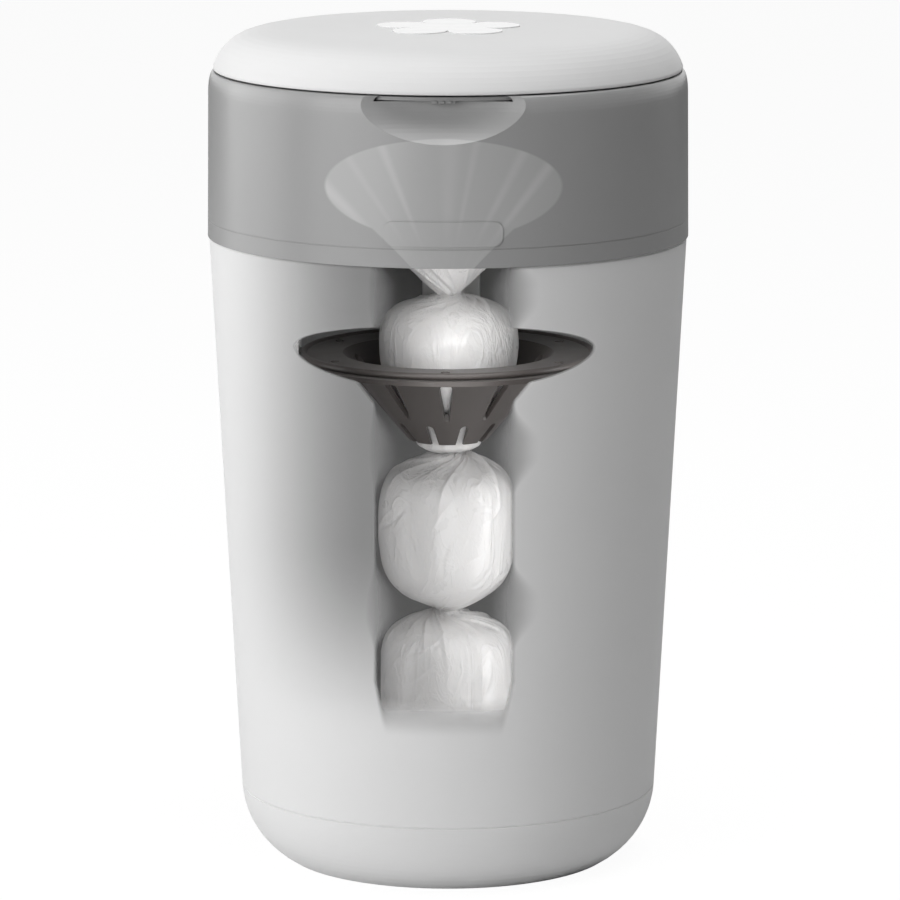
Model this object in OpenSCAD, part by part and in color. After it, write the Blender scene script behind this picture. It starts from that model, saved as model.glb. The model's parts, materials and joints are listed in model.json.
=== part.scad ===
// Nappy bin. A tapered tub with a separate base carries a hinged head. The head
// holds a twist ring with a film cassette, a soft gripper and a hinged lid.
// Millimetres, +Z up. The origin lies on the floor under the bin's axis, the
// front faces -Y and both hinges are at the rear.

/* [Outline] */
// Outer radius of the head band at its lower edge
head_r = 129; // [127:0.5:133]
// Height of the seam between tub and head
seam_z = 340; // [330:1:350]
// Height of the head band
head_h = 88.5; // [87:0.5:93]
// How much the head band draws in from its lower edge to its shoulder
head_draw = 0.7; // [0:0.1:1.5]
// Height of the rounded shoulder under the lid
shoulder_h = 11; // [6:0.5:14]
// How far the head band stands out past the tub's wall
head_proud = 0.8; // [0.4:0.1:1.5]
// Taper of the tub's wall in degrees
tub_taper = 3; // [2:0.1:4]
// Height of the seam between base and tub
base_h = 38.5; // [32:0.5:46]
// Radius of the flat underside
base_flat_r = 88.5; // [84:0.5:94]

/* [Walls] */
// Wall of the tub
tub_wall = 2.6; // [2:0.1:3]
// Wall of the base
base_wall = 2.8; // [2.4:0.1:3.4]
// Floor of the base
base_floor = 3; // [2.4:0.1:4]
// Wall of the head band
head_wall = 3; // [2.6:0.1:3.4]
// Wall of the deck round the twist ring
deck_wall = 2.4; // [2:0.1:2.8]
// Wall of the lid
lid_wall = 2.6; // [2:0.1:3.2]
// Wall of the carrier drum
drum_wall = 2.4; // [2:0.1:3]

/* [Clearances] */
// Gap between neighbours on different bodies
gap = 0.3; // [0.2:0.05:0.5]
// Running clearance of a hinge pin
run_clear = 0.06; // [0.04:0.01:0.1]
// Clearance between pieces that are fixed together
fit_clear = 0.1; // [0.05:0.05:0.15]
// Open joint between lid and head band
lid_gap = 0.8; // [0.5:0.1:1.2]

/* [Lid] */
// How far the lid's edge lies inside the head band's lower edge
lid_inset = 3.5; // [3:0.1:4.5]
// Height of the dome over its edge
lid_h = 20.1; // [18:0.5:23]
// Height of the upright lip at the lid's edge
lid_lip = 1.6; // [1:0.1:2.5]
// Rise of the lid's crown
lid_crown = 0.8; // [0.4:0.1:1.5]
// Petal radius of the ornament
petal_r = 14.5; // [12:0.5:16]
// Distance of the petals from the ornament's centre
petal_pitch = 25; // [22:0.5:27]
// How far the ornament stands above the lid
ornament_h = 0.5; // [0.3:0.1:0.8]

/* [Scoop and label] */
// Depth of the finger scoop at its top
scoop_depth = 13; // [10:0.5:14]
// Height of the finger scoop
scoop_h = 25; // [20:0.5:28]
// Half of the scoop's width
scoop_half = 45.6; // [40:0.5:50]
// Length of the label panel
label_l = 62; // [50:1:70]
// Height of the label panel
label_h = 13; // [10:0.5:15]
// Height of the label panel's middle above the seam
label_rise = 17.7; // [15:0.1:20]

/* [Hinges] */
// Radius of the hinge knuckles
knuckle_r = 4.4; // [4:0.1:5]
// Radius of the hinge pins
pin_r = 2; // [1.5:0.1:2.2]
// Half length of the middle knuckle of the head's hinge
head_knuckle = 26; // [20:1:28]
// Half length of the middle knuckle of the lid's hinge
lid_knuckle = 22; // [18:1:24]
// Length of one outer knuckle
outer_knuckle = 10; // [8:0.5:12]

/* [Deck] */
// Width of the deck's outer flat
deck_edge = 4; // [3:0.1:5]
// Width of the deck's slope from the flat down to the seal's land
deck_slope = 4.7; // [4:0.1:6]
// Width of the land under the lid's seal
land_w = 7.5; // [7:0.1:8.5]
// Width of the seal
seal_w = 4; // [3:0.1:4.5]
// Step from the land in to the lip that holds the ring down
lip_step = 2.4; // [2:0.1:3]

/* [Twist ring] */
// Wall of the twist ring
ring_wall = 2.2; // [1.8:0.1:2.4]
// Number of ratchet teeth, in steps that divide a twelfth of a turn
ring_teeth = 60; // [36:12:72]
// Depth of the ratchet teeth
tooth_depth = 1.7; // [1.2:0.1:1.9]
// Number of grip ribs on the ring's top
grip_ribs = 24; // [12:2:36]

/* [Cassette] */
// Height of the cassette
cassette_h = 38; // [34:0.5:40]
// Radius of the cassette's bore
cassette_bore = 66; // [64:0.5:67]
// Wall of the cassette
cassette_wall = 1.8; // [1.4:0.1:2]
// Number of pleats in the packed film
film_pleats = 9; // [6:1:12]

/* [Gripper] */
// Radius of the gripper's rim
gripper_r = 80; // [79:0.5:82]
// Drop of the gripper's flange below the seam
gripper_drop = 67; // [60:0.5:70]
// Thickness of the gripper's sheet
gripper_t = 2.4; // [2:0.1:2.8]
// Radius where the gripper's funnel starts
funnel_r = 58; // [56:0.5:60]
// Depth of the gripper's funnel
funnel_depth = 38; // [34:0.5:42]
// Radius of the mouth between the fingertips
mouth_r = 19; // [17:0.5:20]
// Number of fingers, slots and slits
fingers = 10; // [8:1:12]
// Number of pins through the flange
gripper_pins_n = 6; // [4:1:8]

/* [Film] */
// Thickness of the film funnel's drawn-up folds
film_t = 0.9; // [0.8:0.1:1]
// Clearance of the film funnel in the cassette's bore
film_clear = 2; // [1.8:0.1:4]
// Drop of the twisted neck below the seam
neck_drop = 33; // [28:0.5:36]
// Radius of the twisted necks
neck_r = 6; // [5:0.5:8]
// Radius of the wrapped nappies
pouch_r = 38; // [34:0.5:39]
// Height of the knot in the film's tied end
knot_z = 40; // [36:1:44]
// How far the knot reaches above its middle
knot_half = 6; // [5:0.5:8]

/* [Hidden] */
$fn = 96;

far = 400;                      // reach of a cut that only has to be long enough
cut = 0.5;                      // overshoot of a cut past the face that it opens

// Colours
white = [0.93, 0.93, 0.93];
grey = [0.62, 0.62, 0.62];
rubber = [0.31, 0.29, 0.28];
steel = [0.75, 0.76, 0.78];
film = [0.9, 0.89, 0.88];

// Tub and base
tub_top_r = head_r - head_proud;
tub_top_z = seam_z - gap;
rim_h = 6.5;                    // upstand of the tub's rim inside the head
rim_wall = 2.2;
rim_out = head_r - head_wall - 2 * gap;
rim_in = rim_out - rim_wall;
rim_band = 6;                   // depth of the thick band under the rim
spigot_h = 10;                  // base spigot inside the tub
seam_chamfer = 0.5;
relief_in = 58;                 // moulded relief under the base
relief_out = 76;
relief_depth = 1.2;
function tub_r(z) = tub_top_r - (tub_top_z - z) * tan(tub_taper);
base_r = tub_r(base_h);
// The base's outline is the one arc that meets the tub's wall without a corner
base_in = base_r - base_flat_r;
base_arc = (base_in * base_in + base_h * base_h)
    / (2 * (base_in * cos(tub_taper) - base_h * sin(tub_taper)));
base_cx = base_r - base_arc * cos(tub_taper);
base_cz = base_h + base_arc * sin(tub_taper);
function base_outline(inset, z) =
    base_cx + sqrt(pow(base_arc - inset, 2) - pow(base_cz - z, 2));

// Head and lid, from the outside in
lid_r = head_r - lid_inset;
deck_out = lid_r - head_wall - gap;
land_out = deck_out - deck_edge - deck_slope;
land_in = land_out - land_w;
lip_in = land_in - lip_step - deck_wall;    // deck lip that holds the teeth down
seal_in = land_in + 1.5;
seal_out = seal_in + seal_w;
lid_screw_circle = land_in - 6;
head_top = seam_z + head_h;
shoulder_r = head_r - head_draw;
shoulder_z = head_top - shoulder_h;
shoulder_in = shoulder_r - lid_r;
lid_z = head_top + lid_gap;
dome_a = 14;                    // roundness of the lid's edge in plan
dome_b = 1.11;                  // roundness of the lid's edge in height
dome_steps = 16;
land_z = head_top - 8.5;        // seal land of the deck
deck_z = head_top - 3;          // outer flat of the deck
ledge_w = 3.4;                  // ledge in the head band that carries the deck
ledge_t = 2.4;
liner_z = deck_z + cut;         // underside of the lid's liner
liner_t = 2;
liner_r = lid_r - lid_wall - 1.4;
liner_dish = 6;                 // rise of the liner's middle
dish_r = lid_screw_circle - 12;
dish_slope = 5;

// Twist ring, carrier and cassette
tooth_r = lip_in - 0.8;         // bottom of the tooth valleys
ring_r = tooth_r - 0.4;
carrier_rise = 11;              // carrier flange above the seam
carrier_t = 3.4;
carrier_z = seam_z + carrier_rise;
ring_z = carrier_z + carrier_t + gap;
ring_floor = 2.4;
ring_top = land_z - 4;
ring_in = ring_r - ring_wall;
tooth_z = ring_z + 17;
tooth_h = 6;
guide_in = ring_r + gap + 0.2;  // carrier wall that guides the ring
guide_wall = 2.5;
guide_h = 14;
lip_z = tooth_z + tooth_h + 1;
cassette_z = ring_z + ring_floor;
cassette_out = ring_in - 2 * gap;
cassette_top = cassette_z + cassette_h;
cover_t = 2;
film_slot = 3;                  // slot that the film leaves the cassette through
grip_z = cassette_top + cover_t + 2;
grip_depth = 3;

// Carrier drum, gripper and cutter
flange_z = seam_z - gripper_drop;
drum_in = gripper_r + 1.5;
drum_out = drum_in + drum_wall;
ledge_in = funnel_r + 4;
drum_ledge = 2.6;
drum_z = flange_z - drum_ledge;
legs = [0, 90, 180];            // places of the drum's legs, which leave the front open
leg_half = 11;                  // half angle of a leg
catches = [-152, -28];          // places of the catches, either side of the front
catch_half = 9;                 // half width of a catch's leaf
rim_bead = 1.9;
pin_circle = (funnel_r + gripper_r) / 2;
gripper_pin_r = 1.5;
gripper_head_r = 2.4;
gripper_head_h = 0.8;
finger_h = 7;
finger_slit = 4.4;              // width of the slit between two fingers
film_bulge = 7;                 // how far the held nappy bulges out under the fingertips
tip_z = flange_z - funnel_depth - finger_h;
shoulder_tip_r = mouth_r + 6;
screw_r = 1.7;
screw_head_r = 3.6;
screw_head_h = 2;
boss_r = 4;
screw_circle = deck_out - ledge_w - boss_r - gap;
arm_w = 13;
slot_in = shoulder_tip_r + 9;   // slots of the gripper's funnel
slot_out = funnel_r - 8;
slot_half_in = 1.2;
slot_half_out = 3.6;

// Hinge axes
head_axis_y = tub_top_r + knuckle_r + 0.8;
head_axis_z = seam_z - 0.5;
lid_axis_y = lid_r + knuckle_r - 1.1;
lid_axis_z = lid_z + 1.7;
side_gap = 0.4;                 // gap between neighbouring knuckles

// Film: the chain of wrapped nappies runs from the neck to the knot
film_r = cassette_bore - film_clear;
neck_z = seam_z - neck_drop;
pouch_top = tip_z - film_bulge - gap;
tail_top = knot_z + knot_half;
pouch_split = (pouch_top + tail_top) / 2;
sides = 48;                     // points round a wrapped nappy
folds = 11;                     // folds gathered at each neck

// ---------- shared shapes ----------

// Points of an arc from angle a0 to a1
function arc(cx, cz, r, a0, a1, n) =
    [for (i = [0:n]) let (a = a0 + (a1 - a0) * i / n) [cx + r * cos(a), cz + r * sin(a)]];

module revolve(points) {
    rotate_extrude() polygon(points);
}

module ring(r_in, r_out, z, h) {
    translate([0, 0, z]) difference() {
        cylinder(r = r_out, h = h);
        translate([0, 0, -cut]) cylinder(r = r_in, h = h + 2 * cut);
    }
}

// An outline in the Y-Z plane, extruded between two places along X
module along_x(x0, x1) {
    translate([x0, 0, 0]) rotate([90, 0, 90]) linear_extrude(x1 - x0) children();
}

module on_both_sides() {
    children();
    mirror([1, 0, 0]) children();
}

module around(n, first = 0) {
    for (i = [0:n - 1]) rotate([0, 0, first + 360 * i / n]) children();
}

module pin_along_x(y, z, r, half) {
    translate([-half, y, z]) rotate([0, 90, 0]) cylinder(r = r, h = 2 * half);
}

// A closed solid through rings of points, from the first ring's cap to the last's
module loft(rings) {
    n = len(rings[0]);
    m = len(rings);
    mid = function (ring) [0, 0, ring[0][2]];
    points = concat([for (r = rings) for (p = r) p], [mid(rings[0]), mid(rings[m - 1])]);
    skin = [for (i = [0:m - 2]) for (j = [0:n - 1]) let (k = (j + 1) % n)
        each [[i * n + j, (i + 1) * n + j, (i + 1) * n + k],
              [i * n + j, (i + 1) * n + k, i * n + k]]];
    first = [for (j = [0:n - 1]) [m * n, j, (j + 1) % n]];
    last = [for (j = [0:n - 1]) [m * n + 1, (m - 1) * n + (j + 1) % n, (m - 1) * n + j]];
    polyhedron(points = points, faces = concat(first, skin, last), convexity = 8);
}

// One ring of gathered film: folds deepen as the fold share grows
function film_ring(r, z, share, lean) =
    [for (j = [0:sides - 1]) let (
        a = 360 * j / sides,
        f = r * (1 + share * cos(folds * a + lean)))
        [f * cos(a), f * sin(a), z]];

// A wrapped nappy between two twisted necks
module pouch(z0, z1, phase) {
    steps = 15;
    swell = 0.42;               // how square the pouch's sides are
    rings = [for (i = [0:steps]) let (
        t = (1 - cos(180 * i / steps)) / 2,
        u = pow(sin(180 * t), swell),
        edge = 1 - u,
        lump = 1 + 0.035 * sin(360 * t + phase))
        film_ring(neck_r + (pouch_r - neck_r) / 1.04 * u * lump, z0 + (z1 - z0) * t,
            0.015 + 0.16 * edge * (1 - edge), phase + 60 * t)];
    loft(rings);
}

// ---------- tub ----------

module rear_ears(y, z, root_y, foot_z, top_z, inner) {
    on_both_sides() along_x(inner + side_gap, inner + side_gap + outer_knuckle) difference() {
        union() {
            polygon([[root_y, foot_z], [y + knuckle_r, foot_z + (y + knuckle_r - root_y)],
                [y + knuckle_r, z], [y - knuckle_r + 1, z], [y - knuckle_r + 1, top_z],
                [root_y, top_z]]);
            translate([y, z]) circle(r = knuckle_r);
        }
        translate([y, z]) circle(r = pin_r + fit_clear / 5);
    }
}

module tub() color(white) {
    inner = [[tub_r(base_h) - tub_wall, base_h - cut],
        [tub_r(tub_top_z - rim_band - 2) - tub_wall, tub_top_z - rim_band - 2],
        [rim_in, tub_top_z - rim_band]];
    difference() {
        union() {
            revolve([[0, base_h], [base_r - seam_chamfer, base_h], [tub_r(base_h + 1), base_h + 1],
                [tub_r(tub_top_z - 1), tub_top_z - 1], [tub_top_r - 0.6, tub_top_z],
                [rim_out, tub_top_z], [rim_out, tub_top_z + rim_h], [0, tub_top_z + rim_h]]);
            rear_ears(head_axis_y, head_axis_z, head_axis_y - 11, head_axis_z - 26,
                tub_top_z - 0.5, head_knuckle);
        }
        revolve(concat([[0, base_h - cut]], inner,
            [[rim_in, tub_top_z + rim_h + cut], [0, tub_top_z + rim_h + cut]]));
        // dimples that the head's catches spring into
        for (a = catches) rotate([0, 0, a]) translate([rim_in, 0, seam_z - 3])
            rotate([90, 0, 0]) cylinder(r = 1.2, h = 12, center = true);
    }
}

module base_cup() color(white) {
    steps = 12;
    spigot_r = base_r - tub_wall - fit_clear;
    top = base_h + spigot_h;
    inside = base_h - 1;
    outer = [for (i = [0:steps]) let (z = (base_h - seam_chamfer) * i / steps)
        [base_outline(0, z), z]];
    inner = [for (i = [steps:-1:0]) let (z = base_floor + (inside - base_floor) * i / steps)
        [base_outline(base_wall, z), z]];
    difference() {
        revolve(concat([[0, 0]], outer, [[base_r - seam_chamfer, base_h], [spigot_r, base_h],
            [spigot_r, top], [spigot_r - 1.8, top], [spigot_r - 1.8, base_h + 2]], inner,
            [[0, base_floor]]));
        ring(relief_in, relief_out, -cut, relief_depth + cut);
    }
}

module head_hinge_pin() color(steel)
    pin_along_x(head_axis_y, head_axis_z, pin_r, head_knuckle + side_gap + outer_knuckle);

module pouch_middle() color(film) pouch(pouch_split + gap, pouch_top, 20);

module pouch_lower() color(film) pouch(tail_top, pouch_split, 75);

// Tied end of the film: a knot over a frill that stands on the base's floor
module film_tail() color(film) {
    z0 = base_floor;
    frill = 4 * neck_r;
    rise = knot_z - z0;
    profile = [[frill, 0, 0.1], [frill * 0.8, frill / 6, 0.1], [frill * 0.5, frill / 2, 0.1],
        [neck_r * 1.1, rise - 2 * knot_half, 0.1], [neck_r * 1.7, rise - knot_half * 7 / 6, 0.04],
        [neck_r * 2, rise - knot_half / 3, 0.03], [neck_r * 1.6, rise + knot_half / 2, 0.05],
        [neck_r, tail_top - z0 - fit_clear, 0.02]];
    loft([for (p = profile) film_ring(p[0], z0 + p[1], p[2], p[1] * 2)]);
}

// ---------- head ----------

// The scoop is cut by a round solid that stands in front of the head. Its depth
// falls away towards the scoop's lower edge, and grow adds the wall behind it.
scoop_chord = sqrt(head_r * head_r - scoop_half * scoop_half);
scoop_sag = scoop_chord - (head_r - scoop_depth);
scoop_radius = (scoop_half * scoop_half + scoop_sag * scoop_sag) / (2 * scoop_sag);
scoop_axis = head_r - scoop_depth + scoop_radius;

module scoop(grow, top) {
    steps = 12;
    low = grow == 0 ? 0 : 1;
    reach = scoop_h + low * grow;
    side = [for (i = [0:steps]) let (t = i / steps)
        [scoop_radius + grow - (scoop_depth + low * grow) * t * t, head_top - reach * t]];
    translate([0, -scoop_axis, 0]) revolve(concat([[0, side[steps][1]], [0, top]],
        [[scoop_radius + grow, top]], side));
}

module head_outline(inset, top) {
    steps = 8;
    shoulder = [for (i = [0:steps]) let (t = 90 * i / steps)
        [shoulder_r - inset - shoulder_in * (1 - cos(t)), shoulder_z + shoulder_h * sin(t)]];
    revolve(concat([[0, seam_z - (inset > 0 ? cut : 0)],
        [head_r - inset, seam_z - (inset > 0 ? cut : 0)]],
        shoulder, top > head_top ? [[lid_r - inset, top], [0, top]] : [[0, head_top]]));
}

module head_knuckle_outline() {
    y = head_axis_y;
    z = head_axis_z;
    polygon([[y - 11, seam_z + gap], [y + knuckle_r, seam_z + gap], [y + knuckle_r, z + 2.4],
        [y - 5, z + 14], [y - 11, z + 14]]);
    translate([y, z]) circle(r = knuckle_r);
}

module head_shell() color(grey) {
    ledge_z = deck_z - 4 - ledge_t;
    groove_z = seam_z + 9.5;    // fine line round the band
    difference() {
        union() {
            difference() {
                union() {
                    head_outline(0, 0);
                    rear_ears(lid_axis_y, lid_axis_z, lid_axis_y - 8, lid_axis_z - 26,
                        head_top, lid_knuckle);
                    along_x(-head_knuckle, head_knuckle) head_knuckle_outline();
                }
                head_outline(head_wall, head_top + 2 * knuckle_r);
            }
            ring(deck_out - ledge_w, shoulder_r - 1.5, ledge_z, ledge_t);
            intersection() {
                scoop(head_wall, head_top);
                head_outline(head_wall / 2, 0);
                cylinder(r = head_r, h = deck_z);
            }
        }
        scoop(0, head_top + cut);
        ring(head_r - head_draw / 8 - 0.18, head_r + cut, groove_z, 0.5);
        pin_along_x(lid_axis_y, lid_axis_z, knuckle_r + 0.6, lid_knuckle + side_gap);
        pin_along_x(head_axis_y, head_axis_z, pin_r + run_clear, head_knuckle + cut);
    }
}

// Bare panel on the front of the band
module label_panel() color(grey) {
    corner = 4.5;
    z = seam_z + label_rise;
    face_r = head_r + 0.3;
    intersection() {
        ring(head_r + 0.02, face_r, z - label_h, 2 * label_h);
        translate([0, 0, z]) rotate([90, 0, 0]) linear_extrude(far) union() {
            square([label_l - 2 * corner, label_h], center = true);
            square([label_l, label_h - 2 * corner], center = true);
            for (x = [-1, 1]) for (y = [-1, 1])
                translate([x * (label_l / 2 - corner), y * (label_h / 2 - corner)])
                    circle(r = corner);
        }
    }
}

deck_top = [[deck_out, deck_z], [deck_out - deck_edge, deck_z], [land_out, land_z],
    [land_in, land_z], [lip_in + deck_wall, land_z - 7], [lip_in, land_z - 8]];

module deck() color(grey) {
    top = head_top + 2 * knuckle_r;
    difference() {
        union() {
            revolve([deck_top[0], deck_top[1], deck_top[2], deck_top[3], deck_top[4],
                deck_top[5], [lip_in, lip_z], [lip_in + deck_wall, lip_z],
                [lip_in + deck_wall, land_z - 10], [land_in + 0.6, land_z - deck_wall],
                [land_out + 1, land_z - deck_wall], [deck_out - deck_edge, deck_z - 4],
                [deck_out, deck_z - 4]]);
            around(4, 45) translate([screw_circle, 0, carrier_z + carrier_t])
                cylinder(r = boss_r, h = deck_z - carrier_z - carrier_t - 1);
        }
        revolve([[deck_out - deck_edge, top], deck_top[1], deck_top[2], deck_top[3],
            [land_in, top]]);
        around(4, 45) translate([screw_circle, 0, carrier_z + carrier_t - cut])
            cylinder(r = screw_r + fit_clear, h = 14);
        scoop(head_wall + gap, top);
    }
}

module wedge(half) {
    linear_extrude(far + seam_z)
        polygon([[0, 0], far * [cos(half), -sin(half)], far * [cos(half), sin(half)]]);
}

module carrier() color(white) {
    difference() {
        union() {
            ring(drum_in - 2 * drum_wall, guide_in + guide_wall, carrier_z, carrier_t);
            ring(guide_in, guide_in + guide_wall, carrier_z, carrier_t + guide_h);
            intersection() {
                ring(drum_in, drum_out, flange_z, carrier_z + carrier_t / 2 - flange_z);
                for (a = legs) rotate([0, 0, a]) wedge(leg_half);
            }
            around(4, 45) intersection() {
                translate([guide_in, -arm_w / 2, carrier_z])
                    cube([screw_circle + boss_r - guide_in, arm_w, carrier_t]);
                cylinder(r = screw_circle + boss_r, h = far + seam_z);
            }
        }
        around(4, 45) translate([screw_circle, 0, carrier_z - cut])
            cylinder(r = screw_r + fit_clear, h = carrier_t + 2 * cut);
    }
}

// Rigid ring under the gripper's flange, on which the carrier's legs stand
module gripper_ring() color(rubber) {
    difference() {
        ring(ledge_in, drum_out, drum_z, drum_ledge);
        around(gripper_pins_n, 90) translate([pin_circle, 0, drum_z - cut])
            cylinder(r = gripper_pin_r + fit_clear, h = drum_ledge + 2 * cut);
    }
}

module screw(length) {
    difference() {
        union() {
            translate([0, 0, -screw_head_h]) cylinder(r = screw_head_r, h = screw_head_h);
            cylinder(r = screw_r, h = length);
        }
        for (turn = [0, 90]) rotate([0, 0, turn])
            translate([-2, -0.4, -screw_head_h - cut]) cube([4, 0.8, 1.1 + cut]);
    }
}

module carrier_screws() color(steel)
    around(4, 45) translate([screw_circle, 0, carrier_z]) screw(carrier_t + 10);

// Soft disc: a beaded rim, a flat flange, a slotted funnel and slit fingers
module gripper_disc() color(rubber) {
    t = gripper_t;
    bottom = flange_z - funnel_depth;
    tip_in = mouth_r;
    difference() {
        revolve(concat(
            [[tip_in + t, tip_z], [shoulder_tip_r + t, bottom],
                [funnel_r + t / 2, flange_z]],
            arc(gripper_r - rim_bead, flange_z + rim_bead, rim_bead, -90, 140, 10),
            [[gripper_r - 2 * rim_bead, flange_z + t], [funnel_r - t / 2, flange_z + t],
                [shoulder_tip_r, bottom + 1], [tip_in, tip_z]]));
        around(fingers, 180 / fingers) translate([0, 0, bottom + 4])
            linear_extrude(funnel_depth + 2) {
                polygon([[slot_in, -slot_half_in], [slot_out, -slot_half_out],
                    [slot_out, slot_half_out], [slot_in, slot_half_in]]);
                translate([slot_out, 0]) circle(r = slot_half_out);
            }
        around(fingers) translate([0, 0, tip_z - cut]) rotate([90, 0, 90])
            linear_extrude(funnel_r) {
                translate([-finger_slit / 2, 0]) square([finger_slit, finger_h + 3]);
                translate([0, finger_h + 3]) circle(r = finger_slit / 2);
            }
        around(gripper_pins_n, 90) translate([pin_circle, 0, flange_z - cut])
            cylinder(r = gripper_pin_r + fit_clear, h = t + 2 * cut);
    }
}

module gripper_pins() color(rubber)
    around(gripper_pins_n, 90) translate([pin_circle, 0, 0]) {
        translate([0, 0, flange_z + gripper_t])
            cylinder(r = gripper_head_r, h = gripper_head_h);
        translate([0, 0, drum_z - 1])
            cylinder(r = gripper_pin_r, h = flange_z + gripper_t - drum_z + 2);
    }

// Guarded film cutter under the gripper's ring, at the rear
cutter_w = 30;
cutter_h = 13;
cutter_slot = 3.2;
cutter_y0 = ledge_in + 1;
cutter_y1 = drum_out - 1;
blade_t = 0.6;

module cutter_housing() color(grey) {
    difference() {
        translate([-cutter_w / 2, cutter_y0, drum_z - cutter_h])
            cube([cutter_w, cutter_y1 - cutter_y0, cutter_h]);
        translate([-cutter_slot / 2, cutter_y0 - cut, drum_z - cutter_h - cut])
            cube([cutter_slot, 11, cutter_h + 2 * cut]);
        for (x = [-1, 1]) translate([x * cutter_w / 2, cutter_y0, drum_z - cutter_h - cut])
            rotate([0, 0, 45]) cube([7, 7, far], center = true);
        cutter_blank(fit_clear);
        for (turn = [60, 120]) rotate([0, 0, turn])
            translate([pin_circle, 0, drum_z - 2])
                cylinder(r = gripper_pin_r + 1, h = 4);
        rotate([0, 0, 90]) translate([pin_circle, 0, drum_z - 2])
            cylinder(r = gripper_pin_r + 1, h = 4);
    }
}

module cutter_blank(grow) {
    translate([0, cutter_y0 + 7.5, drum_z - cutter_h / 2 - 2]) rotate([0, 0, 30])
        cube([12 + 2 * grow, blade_t + 2 * grow, 8 + 2 * grow], center = true);
}

module cutter_blade() color(steel) cutter_blank(0);

// Leaf with a nose that rests in a valley between two ratchet teeth
module click_pawl() color(white) {
    r0 = guide_in + guide_wall + fit_clear;
    leaf_t = 1.4;
    root_half = 4;
    sweep = 30;
    root_z = carrier_z + carrier_t + gap;
    nose_r = tooth_r + gap;
    difference() {
        union() {
            intersection() {
                ring(r0 + 0.9, r0 + 0.9 + leaf_t, tooth_z, tooth_h - 0.5);
                linear_extrude(far + seam_z) polygon([[0, 0], far * [cos(-2), sin(-2)],
                    far * [cos(sweep), sin(sweep)]]);
            }
            intersection() {
                ring(r0, r0 + 3.4, root_z, tooth_z + tooth_h - 0.5 - root_z);
                rotate([0, 0, sweep]) translate([0, -root_half, 0])
                    cube([far, 2 * root_half, far + seam_z]);
            }
            translate([0, 0, tooth_z]) linear_extrude(tooth_h - 0.5)
                polygon([[nose_r, 0], [r0 + 1.4, -2.6], [r0 + 1.4, 2.6]]);
        }
    }
}

// Spring leaves behind the band, one on each side of the front
module head_catches() color(grey) {
    leaf = 1.6;
    r1 = rim_in - 1.4;
    foot = seam_z - 6;
    foot_h = 14;
    top = seam_z + 24;
    for (a = catches) rotate([0, 0, a]) {
        intersection() {
            union() {
                ring(r1 - leaf, r1, foot, top - foot);
                ring(r1 - leaf, head_r - head_wall - head_draw - fit_clear, top - foot_h, foot_h);
            }
            translate([0, -catch_half, 0]) cube([far, 2 * catch_half, far + seam_z]);
        }
        translate([r1, 0, seam_z - 3]) rotate([90, 0, 0])
            cylinder(r = 1.1, h = 10, center = true);
    }
}

module lid_hinge_pin() color(steel)
    pin_along_x(lid_axis_y, lid_axis_z, pin_r, lid_knuckle + side_gap + outer_knuckle);

// The nappy that the gripper holds: it tapers down through the fingers
module pouch_upper() color(film) {
    wide = flange_z + 8;
    low = flange_z - funnel_depth;
    slope = (funnel_r - shoulder_tip_r) / funnel_depth;
    inner_low = shoulder_tip_r - 2;
    profile = concat(
        [[neck_r, tip_z - film_bulge], [mouth_r * 0.6, tip_z - film_bulge + 1.5],
            [mouth_r - 1.5, tip_z - film_bulge + 4], [mouth_r - 2, tip_z],
            [mouth_r - 1, (tip_z + low) / 2], [inner_low, low + 4]],
        [for (t = [0.35, 0.6, 0.85])
            [min(pouch_r, inner_low + slope * (wide - low) * t * 0.86), low + (wide - low) * t]],
        [[pouch_r, wide + 4], [pouch_r * 0.98, wide + 10], [pouch_r * 0.9, neck_z - 8],
            [pouch_r * 0.72, neck_z - 5], [pouch_r * 0.46, neck_z - 3],
            [neck_r * 1.2, neck_z - 1.5], [neck_r, neck_z - gap]]);
    loft([for (i = [0:len(profile) - 1]) let (p = profile[i])
        film_ring(p[0] / 1.02, p[1], i > 10 ? 0.05 : 0.02, 9 * i)]);
}

// ---------- twist ring and cassette ----------

module twist_ring() color(white) {
    tooth_pitch = 360 / ring_teeth;
    difference() {
        union() {
            revolve([[cassette_bore + 0.5, ring_z], [ring_r - 1, ring_z], [ring_r, ring_z + 1],
                [ring_r, ring_top - 2.2], [ring_r - 0.5, ring_top - 0.6],
                [ring_r - 1.2, ring_top], [ring_in - 0.4, ring_top],
                [ring_in - 1, ring_top - 1], [ring_in, ring_top - 3],
                [ring_in, cassette_z], [cassette_bore + 0.5, cassette_z]]);
            translate([0, 0, tooth_z]) linear_extrude(tooth_h) difference() {
                polygon([for (i = [0:ring_teeth - 1]) each let (a = tooth_pitch * i)
                    [tooth_r * [cos(a), sin(a)],
                     (tooth_r + tooth_depth) * [cos(a + tooth_pitch / 2), sin(a + tooth_pitch / 2)]]]);
                circle(r = ring_in + ring_wall / 2);
            }
            around(grip_ribs) translate([ring_in - grip_depth, -1.6, grip_z])
                cube([grip_depth + 1, 3.2, ring_top - 4 - grip_z]);
        }
    }
}

module cassette_body() color(white) {
    w = cassette_wall;
    revolve([[cassette_bore, cassette_z], [cassette_out - 1, cassette_z],
        [cassette_out, cassette_z + 1], [cassette_out, cassette_top],
        [cassette_out - w, cassette_top], [cassette_out - w, cassette_z + w],
        [cassette_bore + w, cassette_z + w], [cassette_bore + w, cassette_top - film_slot],
        [cassette_bore + w / 2, cassette_top - film_slot + 0.6],
        [cassette_bore, cassette_top - film_slot]]);
}

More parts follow.
